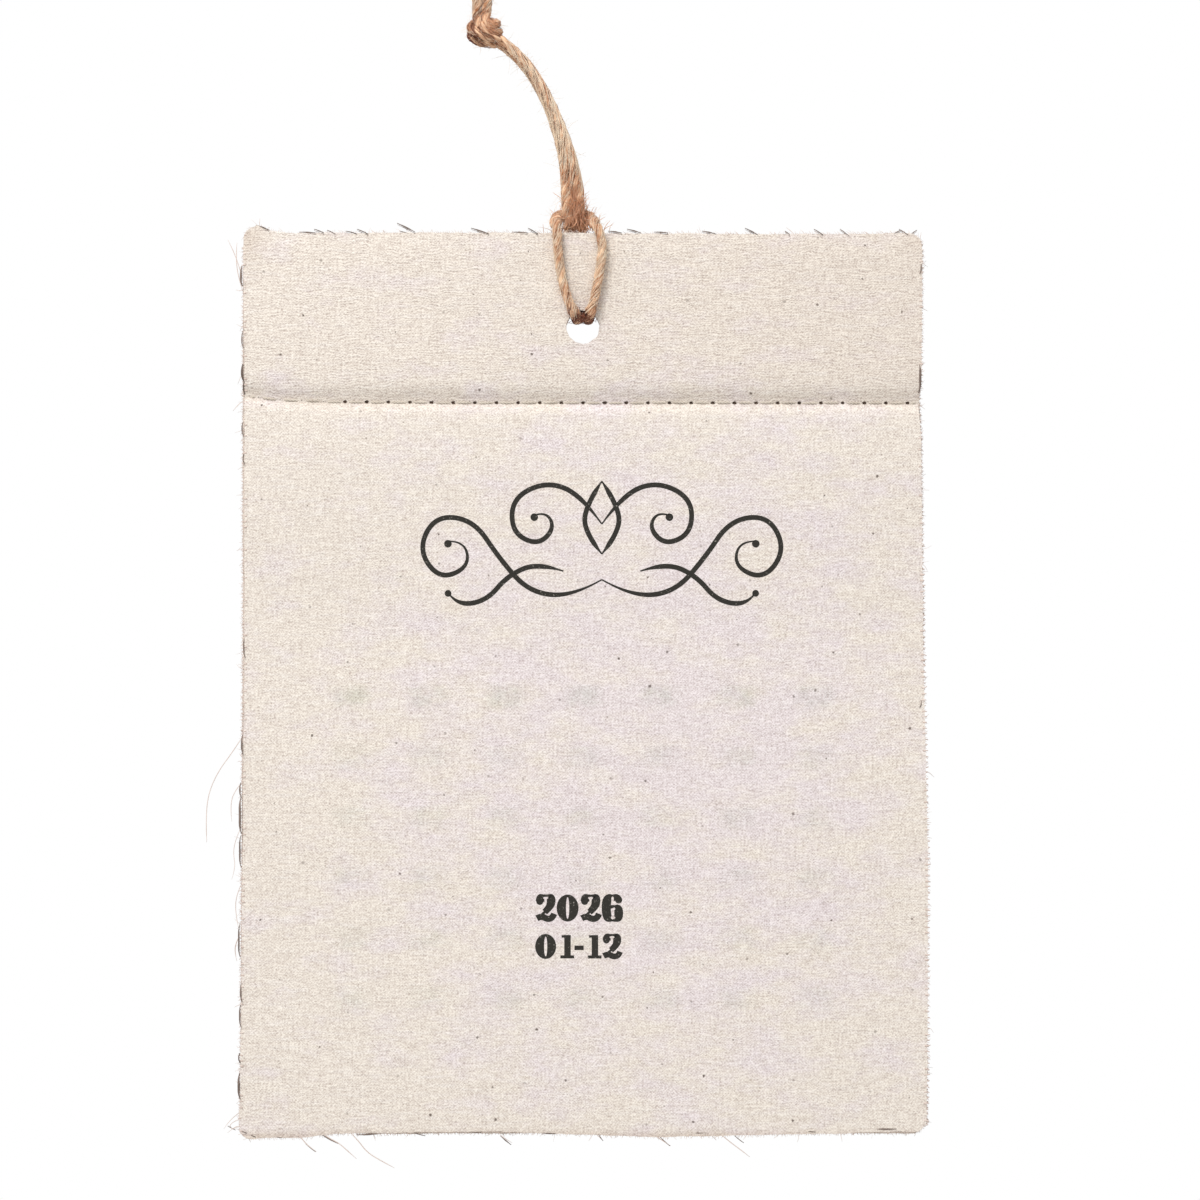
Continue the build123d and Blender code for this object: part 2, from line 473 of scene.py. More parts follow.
def weave(nodes, flat):
    """The height of a plain weave with uneven yarns, from 0 to 1."""
    bent = nodes.wandering(flat, 0.22, 3.0, 2.2)
    across, up, _ = [nodes.math("SINE", nodes.product(p, math.pi / yarn_pitch)) for p in nodes.parts(bent)]
    over_under = nodes.math("MULTIPLY_ADD", across, up, 1.0)
    weft = nodes.noise(nodes.scaled(bent, (0.35, 1.5, 1)), 1.0, 2.0, 0.6)
    warp = nodes.noise(nodes.scaled(flat, (1.6, 0.3, 1)), 1.0, 2.0)
    grain = nodes.noise(flat, 2.1, 2.0, 0.6)
    ridges = weft_ridges(nodes, flat)
    height = 0.0
    for yarn, share in ((over_under, 0.08), (ridges, 0.12), (weft, 0.4), (warp, 0.35), (grain, 0.95)):
        height = nodes.math("MULTIPLY_ADD", yarn, share, height)
    return nodes.remap(height, 0.58, 1.2)


def weft_ridges(nodes, flat):
    """Wavy rows where the thicker weft yarns stand up, plainest in the header."""
    wander = nodes.noise(nodes.scaled(flat, (0.22, 0.3, 1)), 1.0, 3.0, 0.6)
    up = nodes.parts(flat)[1]
    bent = nodes.math("MULTIPLY_ADD", wander, 3.0, up)
    rows = nodes.math("SINE", nodes.product(bent, 2 * math.pi / ridge_pitch))
    patch = nodes.noise(nodes.scaled(flat, (0.3, 0.9, 1)), 1.0, 2.0)
    in_header = nodes.remap(up, seam_mm - 2.0, seam_mm + 2.0, 0.4, 1.0)
    return nodes.product(rows, nodes.remap(patch, 0.35, 0.6), in_header)


def seed_specks(nodes, flat):
    """1 on the small dark bits of seed husk in unbleached cotton."""
    ragged = nodes.wandering(flat, 2.5, 2.0, 0.5)
    cells = nodes.add("ShaderNodeTexVoronoi", {"Vector": ragged, "Scale": 0.1}, voronoi_dimensions="2D")
    pick = nodes.add("ShaderNodeSeparateColor", {0: cells.outputs["Color"]}).outputs
    size = nodes.remap(pick[1], 0.0, 1.0, 0.013, 0.034)
    near = nodes.remap(nodes.math("DIVIDE", cells.outputs["Distance"], size), 0.7, 1.3, 1.0, 0.0)
    chosen = nodes.math("GREATER_THAN", pick[0], 0.45)
    return nodes.product(near, chosen, nodes.remap(pick[2], 0.0, 1.0, 0.35, 1.0))


def cloth_colour(nodes, flat, height):
    """Cream cotton with faint pink and yellow yarns, with painted shade between them."""
    colour = nodes.mix(pinkness(nodes, flat), cream, pinkish)
    pale = nodes.noise(nodes.scaled(flat, (0.12, 0.9, 1)), 1.0, 2.0)
    colour = nodes.mix(nodes.remap(pale, 0.5, 0.75, 0.0, 0.4), colour, bleached)
    # brown: painted shade over the header, a painted shadow at the foot, and the top corners' brown
    colour = nodes.mix(handled(nodes, flat), colour, shade_and_corner_brown)
    # painted shade in the seam's ditch
    colour = nodes.mix(dust(nodes, flat), colour, ditch_shade_tint, "MULTIPLY")
    colour = nodes.mix(seen_through(nodes, flat), colour, shown_ink, "MULTIPLY")
    # painted shade in the weave's hollows, deepest where the yarns are lowest
    colour = nodes.mix(nodes.remap(height, 0.05, 0.85, 1.0, 0.0), colour, hollow_shade, "MULTIPLY")
    return nodes.mix(nodes.product(seed_specks(nodes, flat), 0.85), colour, speck)


def pinkness(nodes, flat):
    """Where the cotton is pinkish and not cream: in patches, and more round one place."""
    patch = nodes.noise(nodes.scaled(flat, (0.5, 1.0, 1)), 0.12, 4.0, 0.65)
    shares = nodes.scaled(flat, (mm / cover_high.x, mm / top_z, 0))
    yellowed = nodes.remap(nodes.away(shares, pinkest_at), 0.3, 1.1, -0.08, 0.14)
    return nodes.remap(nodes.math("SUBTRACT", patch, yellowed), 0.38, 0.62)


def seen_through(nodes, flat):
    """How plainly the first month's rows of print show through the cover leaf, as soft smudges."""
    across, up, _ = nodes.parts(flat)
    left, top = from_photo(day_columns_px[0], weekday_row_px)
    row_count = len(week_rows_px)
    column_pitch = (day_columns_px[1] - day_columns_px[0]) * pixel
    row_pitch = (week_rows_px[-1] - weekday_row_px) / row_count * pixel
    columns = nodes.math("MULTIPLY_ADD", across, mm / column_pitch, -left / column_pitch)
    rows = nodes.math("MULTIPLY_ADD", up, -mm / row_pitch, top / row_pitch)
    plain = nodes.remap(rows, 0.3, 0.7, 1.0, 0.55)
    for places, last, size in ((columns, len(day_columns_px) - 1, 0.3), (rows, row_count, 0.24)):
        off_mark = nodes.math("PINGPONG", places, 0.5)
        off_page = nodes.math("ABSOLUTE", nodes.math("SUBTRACT", places, last / 2))
        on_mark = nodes.remap(off_mark, size * 0.4, size, 1.0, 0.0)
        on_page = nodes.remap(off_page, last / 2 + 0.3, last / 2 + 0.5, 1.0, 0.0)
        plain = nodes.product(plain, on_mark, on_page)
    blotted = nodes.noise(flat, 0.22, 3.0, 0.7)
    return nodes.product(plain, nodes.remap(blotted, 0.35, 0.62, 0.15, 1.0))


def handled(nodes, flat):
    """How much brown is mixed in: a little over the header as painted shade, growing to its right, and most
    at the top corners and at the foot, where it is a painted shadow.
    """
    across, up, _ = nodes.parts(flat)
    in_header = nodes.remap(up, seam_mm - 1.0, seam_mm + 6.0)
    share = nodes.product(nodes.remap(across, cover_low.x / mm, cover_high.x / mm, 0.04, 0.16), in_header)
    # the foot's painted shadow, then the brown round the top corners
    darkened = [nodes.remap(up, foot_mm - 0.6, foot_mm + 1.2, 0.4, 0.0)]
    for side in (cover_low.x, cover_high.x):
        darkened.append(nodes.remap(nodes.away(flat, (side / mm, top_z / mm, 0)), 1.0, 10.0, 0.4, 0.0))
    for place in darkened:
        share = nodes.math("MAXIMUM", share, place)
    return share


def dust(nodes, flat):
    """How much painted shade lies in the seam's ditch, most at the seam and reaching 4 mm above it."""
    across, up, _ = nodes.parts(flat)
    left_end = nodes.remap(across, -79.0, -66.0, 1.7, 0.0)
    above = nodes.math("SUBTRACT", nodes.math("SUBTRACT", up, seam_mm), left_end)
    upper = nodes.remap(above, 0.0, 4.0, 1.0, 0.0)
    return nodes.product(upper, nodes.remap(above, -1.3, 0.0), 0.6)


def cloth_material(name):
    nodes = Nodes(name)
    flat = nodes.flat_cloth()
    height = weave(nodes, flat)
    nodes.shader.inputs["Sheen Roughness"].default_value = 0.6
    return nodes.surface(cloth_colour(nodes, flat, height), height, (0.8, 0.16 * mm), 0.92, 0.2, 0.15)


def ink_material(name):
    """Charcoal ink on the yarns' tops, with the weave showing through it."""
    nodes = Nodes(name)
    flat = nodes.flat_cloth()
    height = weave(nodes, flat)
    worn = nodes.noise(flat, 1.6, 3.0, 0.7)
    bare = nodes.math("MULTIPLY_ADD", height, 0.5, worn)
    colour = nodes.mix(nodes.remap(bare, 0.62, 0.42, 0.0, 0.35), ink, cream)
    return nodes.surface(colour, height, (0.5, 0.12 * mm), 0.85, 0.2)


def yarn_material(name, dark, light, relief=0.05, contrast=0.2):
    """Loose cotton or jute fibres: streaks along each yarn, in two tones."""
    nodes = Nodes(name)
    place = nodes.add("ShaderNodeTexCoord", {}).outputs
    streak = nodes.noise(nodes.scaled(place["UV"], (25, 9, 1)), 1.0, 3.0, 0.65)
    patch = nodes.noise(place["Object"], 260.0, 2.0)
    tone = nodes.math("MULTIPLY_ADD", streak, 0.6, nodes.product(patch, 0.5))
    tone = nodes.remap(tone, 0.55 - contrast, 0.55 + contrast)
    return nodes.surface(nodes.mix(tone, dark, light), streak, (0.7, relief * mm), 0.8, 0.25, 0.2)


cover_cloth = cloth_material("cover_cotton")
month_cloth = cloth_material("month_cotton")
print_ink = ink_material("charcoal_ink")
raw_yarn = yarn_material("raw_cotton_yarn", rgb(196, 172, 160), rgb(238, 222, 212))
shaded_yarn = yarn_material("shaded_cotton_yarn", rgb(64, 52, 46), rgb(150, 132, 122))
# dark fibres as painted shade in the depth of the needle holes
needle_hole_shade = yarn_material("needle_hole_shade", rgb(44, 34, 28), rgb(84, 66, 54))
sewing_cotton = yarn_material("sewing_cotton", rgb(176, 164, 150), rgb(226, 216, 202))
jute = yarn_material("jute", rgb(158, 100, 64), rgb(252, 215, 178), 0.15, 0.13)
jute_fibre = yarn_material("jute_fibre", rgb(236, 200, 166), rgb(255, 241, 218))
worn_jute = yarn_material("worn_jute", rgb(178, 110, 74), rgb(250, 196, 154))
# dark jute: painted shade in the hole and under the knot, and now and then a dark fibre elsewhere
dark_and_shaded_jute = yarn_material("dark_and_shaded_jute", rgb(84, 42, 28), rgb(148, 88, 62))


# Camera, lights and floor

lens_mm = 120.0
sensor_mm = 36.0
key_place = (-0.35, -0.72, 1.05)
key_size = 0.4
key_power = 13.0
lit_place = (0, 0, 0.02)
world_seen = 1.0
world_lighting = 0.6
floor_z = -0.36
floor_reach = 1.2


def studio():
    frame_width = picture_px * pixel
    middle_x, middle_z = from_photo(picture_px / 2, picture_px / 2)
    distance = frame_width * lens_mm / sensor_mm
    sheet_y = cover_low.y
    data = bpy.data.cameras.new("camera")
    data.lens = lens_mm
    data.sensor_width = sensor_mm
    data.clip_end = 20
    camera = bpy.data.objects.new("camera", data)
    camera.location = (middle_x, sheet_y - distance, middle_z)
    camera.rotation_euler = (math.pi / 2, 0, 0)
    bpy.context.scene.collection.objects.link(camera)
    bpy.context.scene.camera = camera

    area_light("key", key_place, key_size, key_power)
    white_world(world_seen, world_lighting)
    bpy.context.scene.view_settings.view_transform = "Standard"

    nodes = Nodes("floor_paint")
    nodes.join(rgb(243, 243, 242), nodes.shader.inputs["Base Color"])
    nodes.join(0.9, nodes.shader.inputs["Roughness"])
    corners = [(x * floor_reach, y * floor_reach, floor_z) for x, y in ((-1, -1), (1, -1), (1, 1), (-1, 1))]
    floor = mesh_object("floor", corners, [(0, 1, 2, 3)], nodes.material, smooth_faces=False)


def white_world(seen, lighting):
    """Pure white behind the object, and a dimmer white for what lights it."""
    world = bpy.data.worlds.new("world")
    world.use_nodes = True
    tree = world.node_tree
    background = tree.nodes["Background"]
    background.inputs["Color"].default_value = (1, 1, 1, 1)
    path = tree.nodes.new("ShaderNodeLightPath")
    strength = tree.nodes.new("ShaderNodeMapRange")
    strength.inputs["To Min"].default_value = lighting
    strength.inputs["To Max"].default_value = seen
    tree.links.new(path.outputs["Is Camera Ray"], strength.inputs["Value"])
    tree.links.new(strength.outputs[0], background.inputs["Strength"])
    bpy.context.scene.world = world


def area_light(name, place, size, power):
    data = bpy.data.lights.new(name, "AREA")
    data.size = size
    data.energy = power
    light = bpy.data.objects.new(name, data)
    light.location = place
    light.rotation_euler = (Vector(lit_place) - Vector(place)).to_track_quat("-Z", "Y").to_euler()
    bpy.context.scene.collection.objects.link(light)


# Cloth leaves


cut_turn = 2.4  # how fast the leaves' cuts go in and out, from leaf to leaf


class Leaf:
    """One leaf's cut: its four raw edges, a little off the cover's."""

    def __init__(self, number):
        self.number = number
        self.cover = number == 0
        turn = cut_turn * (number - 1)
        self.side = 0 if self.cover else edge_stagger * math.sin(turn + 1)
        self.end = 0 if self.cover else edge_stagger * math.cos(turn)

    def left(self, z):
        return along_edge(left_edge if self.cover else month_left_edge, z) + self.side

    def right(self, z):
        return along_edge(right_edge if self.cover else month_right_edge, z) + self.side

    def bottom(self, x):
        return along_edge(bottom_edge, x) if self.cover else bottom_z + self.end

    def top(self, x):
        return along_edge(top_edge, x) if self.cover else top_z - edge_stagger + self.end

    def y(self, x, z):
        return cover_y(x, z) if self.cover else pad_y(x, z, month_count - self.number + 0.5)

    def outline(self, step):
        """Points round the raw edge, uneven where yarns have frayed away."""
        r = corner_radius
        low, high = bottom_z + r, top_z - r
        left_low, right_low = self.left(low), self.right(low)
        left_high, right_high = self.left(high), self.right(high)
        points = [(x, self.bottom(x)) for x in np.arange(left_low + r, right_low - r, step)]
        points += self.corner(right_low - r, self.bottom(right_low) + r, -90)
        points += [(self.right(z), z) for z in np.arange(low, high, step)]
        points += self.corner(right_high - r, self.top(right_high) - r, 0)
        points += [(x, self.top(x)) for x in np.arange(right_high - r, left_high + r, -step)]
        points += self.corner(left_high + r, self.top(left_high) - r, 90)
        points += [(self.left(z), z) for z in np.arange(high, low, -step)]
        points += self.corner(left_low + r, self.bottom(left_low) + r, 180)
        return [self.frayed(x, z) for x, z in points]

    def corner(self, x, z, first_degrees):
        r = corner_radius
        turns = [math.radians(first_degrees + 90 * k / 8) for k in range(1, 8)]
        return [(x + r * math.cos(a), z + r * math.sin(a)) for a in turns]

    def frayed(self, x, z):
        seed = self.number
        inward = 0.16 * mm * rough(x / (0.9 * mm), z / (0.9 * mm), seed=seed)
        inward += 0.22 * mm * rough(x / (7 * mm), z / (7 * mm), seed=seed)
        return x - math.copysign(inward, x), z - inward * math.copysign(1, z)


unpulled_to = -60.0 * mm  # left of this the needle holes have closed again
seam_band = 4.2 * mm  # the closer rows of points lie this near the seam
seam_rows_mm = (-3.4, -2.4, -1.6, -1.0, -0.5, 0, 0.5, 1.0, 1.6, 2.4, 3.4)  # where the cloth bends most


def needle_places():
    return [i * stitch_pitch for i in range(-holes_each_side, holes_each_side + 1)]


def circle(x, z, radius, count, unevenness=0.0):
    points = []
    for k in range(count):
        angle = 2 * math.pi * k / count
        r = radius + unevenness * rough(math.cos(angle) * 3, math.sin(angle) * 3)
        points.append((x + r * math.cos(angle), z + r * math.sin(angle)))
    return points


def needle_slot(x):
    """How wide and high the needle hole at this place has been pulled."""
    pulled = 0.3 + 0.7 * smooth((x - unpulled_to) / stitch_pitch)
    wide, high = needle_slot_size
    return wide * pulled * (1 + 0.3 * rough(x * 700)), high * pulled * (1 + 0.35 * rough(x * 900))


def slot(x, z, wide, high):
    """A needle hole's six corners, stretched along the seam by the thread's pull."""
    half, shoulder = wide / 2, wide / 2 - high / 2
    corners = [(half, 0), (shoulder, high / 2), (-shoulder, high / 2)]
    corners += [(-half, 0), (-shoulder, -high / 2), (shoulder, -high / 2)]
    return [(x + dx, z + dz) for dx, dz in corners]


def grid_places(leaf, grid):
    """Places all over the leaf in rows, off its edges, its punched hole and the seam."""
    generator = random.Random(leaf.number)
    margin = 0.45 * grid
    shift = 0.15 * grid
    places = []
    for z in np.arange(bottom_z + grid / 2, top_z, grid):
        for x in np.arange(leaf.left(z) + margin + 0.3 * mm, leaf.right(z) - margin, grid):
            clear = leaf.bottom(x) + margin < z < leaf.top(x) - margin
            off_hole = math.hypot(x, z - hole_z) > hole_radius + 0.3 * grid
            if clear and off_hole and abs(z - seam_at(x)) > seam_band:
                places.append((x + generator.uniform(-shift, shift), z))
    return places


def seam_places(leaf):
    """Closer rows of places along the seam, off the needle holes."""
    places = []
    for x in np.arange(leaf.left(seam_z) + 0.8 * mm, leaf.right(seam_z) - 0.8 * mm, stitch_pitch / 8):
        off_hole = min(abs(x - hole) for hole in needle_places()) >= 0.75 * needle_slot_size[0]
        places += [(x, seam_at(x) + above * mm) for above in seam_rows_mm if above or off_hole]
    return places


def in_a_hole(leaf, x, z):
    if math.hypot(x, z - hole_z) < hole_radius - 0.15 * mm:
        return True
    hole = min(needle_places(), key=lambda place: abs(x - place))
    wide, high = needle_slot(hole)
    in_needle = abs(x - hole) / wide + abs(z - seam_at(hole)) / high / 2 < 0.5
    return in_needle and leaf.number < pit_depth


def cut_cloth(leaf, name, grid, edge_step, material):
    """A leaf's sheet with its punched hole and needle holes."""
    rings = [leaf.outline(edge_step), circle(0, hole_z, hole_radius, 40, 0.12 * mm)]
    if leaf.number < pit_depth:
        rings += [slot(x, seam_at(x), *needle_slot(x)) for x in needle_places()]
    flat, edges = [], []
    for ring in rings:
        first = len(flat)
        flat += ring
        edges += [(first + i, first + (i + 1) % len(ring)) for i in range(len(ring))]
    flat += grid_places(leaf, grid) + seam_places(leaf)
    made = geometry.delaunay_2d_cdt([Vector(p) for p in flat], edges, [], 1, 1e-7)
    points = [(p.x, p.y) for p in made[0]]
    kept = []
    for triangle in made[2]:
        x, z = (sum(points[i][k] for i in triangle) / 3 for k in (0, 1))
        if not in_a_hole(leaf, x, z):
            kept.append(triangle)
    return shell(name, points, facing_front(points, kept), leaf.y, cloth_thickness, material)


def outward(border, i):
    """The outward and forward directions at a point of the raw edge."""
    dx, dz = direction(border[i - 1], border[(i + 1) % len(border)])
    return (dz, -dx), (dx, dz)


def yarn_end(leaf, x, z, out, along, reach, lean, curl, generator):
    """The path of a cut yarn that stands out of the raw edge."""
    y = leaf.y(x, z) + generator.uniform(-0.12, 0.12) * mm
    rise = generator.gauss(0.0, 0.12)
    path = []
    for t in (-0.6 * mm / reach, 0.0, 0.5, 1.0):
        ahead = max(t, 0)
        sideways = (lean * ahead + curl * ahead**2) * reach
        px = x + out[0] * t * reach + along[0] * sideways
        pz = z + out[1] * t * reach + along[1] * sideways
        path.append((px, y + rise * ahead * reach, pz))
    return path


weft_end_pitch = 1.33 * mm
fringed_to = 25 * mm  # above this height the weft ends are shorter
bare_share = 0.12  # of the places round the edge, those without a fibre


def fringe(leaf, name, step, length, strays):
    """Fine fibres all round the raw edge, and the cut ends of the weft yarns along its sides."""
    generator = random.Random(100 + leaf.number)
    border = leaf.outline(step)
    routes = []
    for i, (x, z) in enumerate(border):
        if generator.random() < bare_share:
            continue
        out, along = outward(border, i)
        reach = length * generator.uniform(0.2, 0.8)
        if generator.random() < strays:
            reach *= generator.uniform(1.5, 3.5)
        lean = generator.gauss(0.0, 0.4) + (0.6 if z > top_z - 1.5 * mm else 0.0)
        path = yarn_end(leaf, x, z, out, along, reach, lean, generator.gauss(0.0, 0.4), generator)
        routes.append((path, generator.uniform(0.05, 0.1) * mm, [1.0, 1.0, 0.8, 0.4]))
    teeth = leaf.outline(weft_end_pitch)
    for i, (x, z) in enumerate(teeth):
        out, along = outward(teeth, i)
        if abs(out[0]) < 0.9:
            continue
        strength = smooth((x / leaf.right(z) + 1.6) / 2) * (0.75 + 0.5 * rough(x, z / (20 * mm), 4))
        strength *= 1 - 0.5 * smooth((z - fringed_to) / (15 * mm))
        reach = length * strength * generator.uniform(0.6, 1.0)
        lean = generator.gauss(0.0, 0.15)
        path = yarn_end(leaf, x, z, out, along, reach, lean, lean, generator)
        routes.append((path, generator.uniform(0.17, 0.24) * mm, [1.0, 1.0, 0.9, 0.5]))
    return tubes_object(name, routes, raw_yarn, sides=4 if leaf.cover else 3)


# Yarns that hang loose from the raw edges, as places in the photograph's pixels
loose_yarns_px = [
    [(243, 280), (239, 266), (234, 252), (228, 240)],
    [(243, 292), (238, 276), (236, 258), (237, 243)],
    [(245, 399), (239, 403), (233, 411)],
    [(243, 735), (232, 752), (217, 772), (207, 795), (205, 822), (206, 843)],
    [(244, 780), (234, 790), (229, 806), (231, 822)],
    [(243, 822), (236, 836), (232, 852), (235, 868), (231, 880)],
    [(243, 880), (236, 893), (234, 912), (238, 930)],
    [(243, 925), (237, 940), (233, 950), (236, 962)],
    [(245, 1118), (236, 1121), (228, 1126), (231, 1131), (238, 1128)],
    [(243, 1110), (234, 1117), (227, 1124), (223, 1130)],
    [(248, 1131), (240, 1126), (232, 1129), (227, 1134)],
    [(292, 1132), (300, 1138), (307, 1147), (316, 1153)],
    [(316, 1131), (326, 1138), (338, 1144), (347, 1152), (356, 1160)],
    [(348, 1132), (358, 1142), (366, 1153), (379, 1161), (394, 1169)],
    [(496, 1131), (502, 1139), (512, 1144)],
    [(592, 1131), (598, 1137), (602, 1141)],
    [(648, 1131), (658, 1139), (671, 1147)],
    [(718, 1133), (730, 1143), (741, 1151), (750, 1158)],
    [(566, 240), (556, 234), (548, 228), (538, 227)],
    [(548, 240), (541, 234), (535, 230)],
]

# Short yarn ends along the top edge and the bottom one, dark with painted shade: from x, y to x, y in pixels
top_flecks_px = [
    (256, 225, 269, 230), (299, 232, 316, 233), (314, 229, 324, 233), (327, 230, 335, 234),
    (346, 231, 357, 234), (357, 229, 368, 234), (397, 223, 415, 232), (400, 231, 409, 234),
    (471, 228, 489, 234), (512, 232, 528, 233), (528, 228, 538, 234), (608, 231, 622, 233),
    (627, 229, 641, 233), (654, 232, 668, 233), (702, 231, 716, 234), (745, 228, 758, 235),
    (785, 231, 790, 235), (814, 229, 823, 235), (840, 229, 849, 236), (892, 235, 901, 230),
    (899, 229, 908, 235), (910, 235, 917, 230),
]
bottom_flecks_px = [
    (227, 1127, 235, 1131), (238, 1131, 246, 1134), (247, 1135, 255, 1138), (272, 1137, 281, 1139),
    (291, 1136, 300, 1138), (305, 1145, 315, 1153), (321, 1136, 338, 1145), (356, 1136, 377, 1135),
    (414, 1134, 425, 1137), (470, 1133, 482, 1134), (500, 1137, 511, 1146), (540, 1134, 556, 1135),
    (598, 1135, 603, 1142), (660, 1138, 670, 1147), (690, 1134, 706, 1134), (735, 1137, 744, 1144),
    (803, 1132, 816, 1133), (872, 1130, 897, 1130),
]

# Yarns that hug a side edge, dark with painted shade: x, and the two heights between which each shows, in
# pixels
edge_wisps_px = [
    (241, 268, 284), (242, 333, 346), (242, 366, 379), (243, 384, 392), (242, 424, 434),
    (243, 456, 462), (243, 640, 656), (241, 737, 753), (239, 785, 796), (239, 800, 832),
    (239, 838, 866), (238, 927, 956), (240, 985, 1001), (239, 1007, 1026), (238, 1056, 1062),
    (238, 1076, 1098), (920, 365, 391), (921, 262, 272), (922, 700, 706),
]


def loose_yarn(leaf, route_px, radius, generator):
    """One yarn along places of the photograph, held at its first by the leaf's edge."""
    line = []
    for i, (x_px, y_px) in enumerate(route_px):
        x, z = from_photo(x_px, y_px)
        inside_x = min(max(x, leaf.left(z)), leaf.right(z))
        inside_z = min(max(z, leaf.bottom(inside_x)), leaf.top(inside_x))
        line.append((x, leaf.y(inside_x, inside_z) - generator.uniform(0.05, 0.15) * mm * i, z))
    path = spaced(nurbs_line(line), 0.8 * mm)
    taper = [0.4 + 0.6 * smooth(min(i, len(path) - 1 - i) / 3) for i in range(len(path))]
    return path, radius, taper


def loose_yarns(leaf):
    generator = random.Random(5)
    routes = [loose_yarn(leaf, r, generator.uniform(0.09, 0.13) * mm, generator) for r in loose_yarns_px]
    return tubes_object("loose_yarns", routes, raw_yarn, sides=4)


def fleck(leaf, ends_px, bow, drop, radius, generator):
    """A short yarn end, bowed and let down by so many pixels."""
    x, y, last_x, last_y = ends_px
    middle = ((x + last_x) / 2, (y + last_y) / 2 + bow + drop)
    return loose_yarn(leaf, [(x, y + drop), middle, (last_x, last_y + drop)], radius, generator)


def edge_yarns(leaf):
    generator = random.Random(6)
    routes = []
    for ends in top_flecks_px:
        routes.append(fleck(leaf, ends, -0.6, 0.0, 0.21 * mm, generator))
        routes.append(fleck(leaf, ends, -0.6, 1.4, 0.1 * mm, generator))
    for ends in bottom_flecks_px:
        routes.append(fleck(leaf, ends, 0.4, 0.0, 0.2 * mm, generator))
    for x, high, low in edge_wisps_px:
        inward = 1 if x < middle_px[0] else -1
        route = [(x + inward, high - 2), (x - inward * 0.4, high + 2), (x, (high + low) / 2)]
        route += [(x - inward * 0.3, low - 2), (x + inward * 1.5, low + 2)]
        routes.append(loose_yarn(leaf, route, generator.uniform(0.2, 0.34) * mm, generator))
    # these yarns take the shaded yarn's painted shade
    return tubes_object("edge_yarns", routes, shaded_yarn, sides=5)


def build_leaves():
    cover = Leaf(0)
    sheet = cut_cloth(cover, "cover_sheet", 2.6 * mm, 0.7 * mm, cover_cloth)
    edge = fringe(cover, "cover_fringe", 0.5 * mm, 0.9 * mm, 0.06)
    yarns = loose_yarns(cover)
    wisps = edge_yarns(cover)
    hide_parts("cover_header", "front_cover")
    for piece in (sheet, edge, yarns, wisps):
        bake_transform(piece)
    for number in range(1, month_count + 1):
        leaf = Leaf(number)
        outer = number in (1, month_count)
        grid = (4.0 if outer else 9.0) * mm
        page = cut_cloth(leaf, f"month_leaf_{number:02d}", grid, 1.1 * mm, month_cloth)
        ends = fringe(leaf, f"month_fringe_{number:02d}", 0.8 * mm, 0.8 * mm, 0.04)
        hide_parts("month_leaves")
        for piece in (page, ends):
            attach(piece, "calendar_pad")


# Print


def ribbon(line, widths):
    """Flat points and triangles of a pen stroke of changing width."""
    points, triangles = [], []
    for i, (x, z) in enumerate(line):
        dx, dz = direction(*neighbours(line, i))
        half = widths[i] / 2
        points += [(x - dz * half, z + dx * half), (x + dz * half, z - dx * half)]
    for i in range(0, len(points) - 2, 2):
        triangles += [(i, i + 1, i + 3), (i, i + 3, i + 2)]
    return points, triangles


def disc(x, z, radius):
    points = [(x, z)] + circle(x, z, radius, 16)
    return points, [(0, k + 1, (k + 1) % 16 + 1) for k in range(16)]


def print_on(name, shapes, y_of, height, body):
    """Ink in one piece: shapes are (points, triangles) on the flat cloth."""
    points, triangles = [], []
    for flat, faces in shapes:
        start = len(points)
        points += flat
        triangles += [tuple(start + k for k in t) for t in faces]
    triangles = facing_front(points, triangles)
    piece = shell(name, points, triangles, lambda x, z: y_of(x, z) - height, 0.03 * mm, print_ink)
    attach(piece, body)
    return piece


def stroke_line(points, step=0.35):
    """A smooth line through the plane near these points, in millimetres."""
    line = spaced(nurbs_line([(x, 0, z) for x, z in points]), step)
    return [(p.x, p.z) for p in line]


def pen_stroke(points, origin, scale, width, ends=0.3):
    """A scroll's stroke: full width in its middle, thin at its ends."""
    line = stroke_line(points)
    count = len(line)
    widths = []
    for i in range(count):
        from_end = min(i, count - 1 - i) / (0.18 * count)
        widths.append(width * (ends + (1 - ends) * smooth(from_end)))
    placed = [((origin[0] + scale[0] * x) * mm, (origin[1] + scale[1] * z) * mm) for x, z in line]
    return ribbon(placed, [w * mm for w in widths])


# A scroll ornament's strokes, right half, in millimetres from its middle
scroll_strokes = [
    [
        (0, -8), (7, -12), (17, -11), (24, -3), (30, 6), (39, 7),
        (43, -1), (38, -8), (31, -5), (32, 1), (36, 1),
    ],
    [(0, 5), (5, 12), (13, 15), (21, 11), (21, 3), (15, 0), (11, 4), (13, 8), (16, 7)],
    [(9, -6), (15, -4), (22, -7), (27, -13), (34, -14), (36, -11)],
    [(0, 15), (4, 9), (4, 3), (0, -2)],
]
scroll_origin = (4.4, 32.5)
scroll_width = 1.15
scroll_balls = ((36.0, 0.4, 0.9), (15.8, 6.6, 0.9), (36.0, -11.2, 0.8))  # x, z and radius
print_height = cloth_thickness / 2 + 0.01 * mm


def build_scroll():
    shapes = []
    for stroke in scroll_strokes:
        for side in (1, -1):
            shapes.append(pen_stroke(stroke, scroll_origin, (side, 1), scroll_width))
    for side in (1, -1):
        for x, z, radius in scroll_balls:
            centre = ((scroll_origin[0] + side * x) * mm, (scroll_origin[1] + z) * mm)
            shapes.append(disc(*centre, radius * mm))
    print_on("printed_scroll", shapes, cover_y, print_height, "cover")


